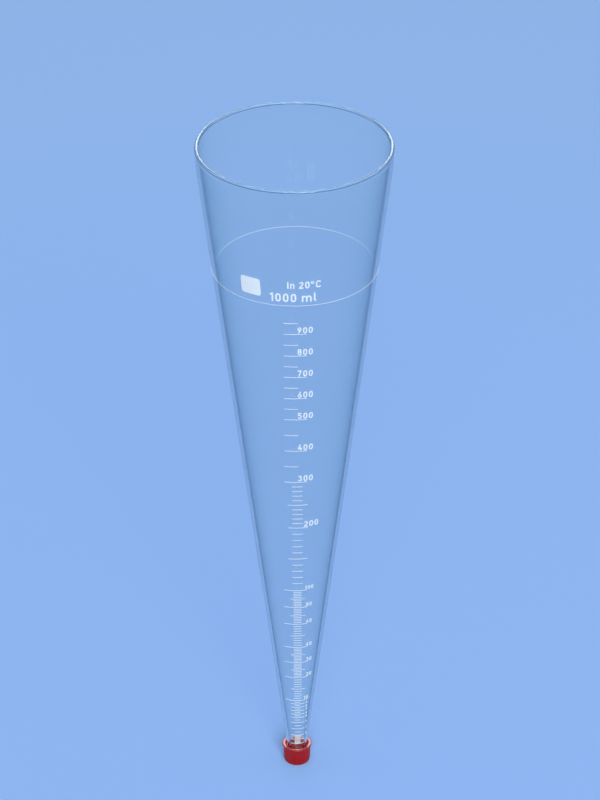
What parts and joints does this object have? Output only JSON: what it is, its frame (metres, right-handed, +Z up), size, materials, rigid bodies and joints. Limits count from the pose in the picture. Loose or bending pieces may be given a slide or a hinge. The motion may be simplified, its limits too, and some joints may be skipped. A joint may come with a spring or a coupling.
{
  "type": "imhoff cone",
  "caption": "Clear glass sedimentation cone with a printed volume scale, a rounded rim, and a ribbed screw cap with a flat foot that closes its outlet.",
  "frame": {"origin": "centre of the cap's flat foot, which the part stands on", "axes": "+Z up along the cone's axis; the printed scale faces -Y; +X is to the right as the scale is read"},
  "size_m": [0.121, 0.121, 0.4545],
  "materials": {
    "clear_glass": "polished",
    "red_plastic": "moulded gloss",
    "red_silicone": "matte",
    "white_facing": "skived",
    "white_enamel": "fired print"
  },
  "bodies": {
    "cap": {"screw_cap": "red_plastic"},
    "seal": {"seal_pad": "red_silicone", "ptfe_face": "white_facing"},
    "cone": {"glass_cone": "clear_glass", "volume_ring": "white_enamel", "marking_patch": "white_enamel", "scale_by_50_ml": "white_enamel", "scale_by_10_ml": "white_enamel", "scale_by_2_ml": "white_enamel", "scale_by_1_ml": "white_enamel", "scale_by_half_ml": "white_enamel", "scale_by_tenth_ml": "white_enamel"}
  },
  "joints": [
    {"name": "cap_turn", "type": "hinge", "parent": "cap", "child": "seal", "pos_m": [0, 0, 0], "axis": [0, 0, 1], "range_deg": [0, 1440]},
    {"name": "thread_lift", "type": "slide", "parent": "seal", "child": "cone", "axis": [0, 0, 1], "range_m": [0, 0.01]}
  ],
  "couplings": [
    {"joint": "thread_lift", "follows": "cap_turn", "m_per_rad": 0.00039789}
  ]
}
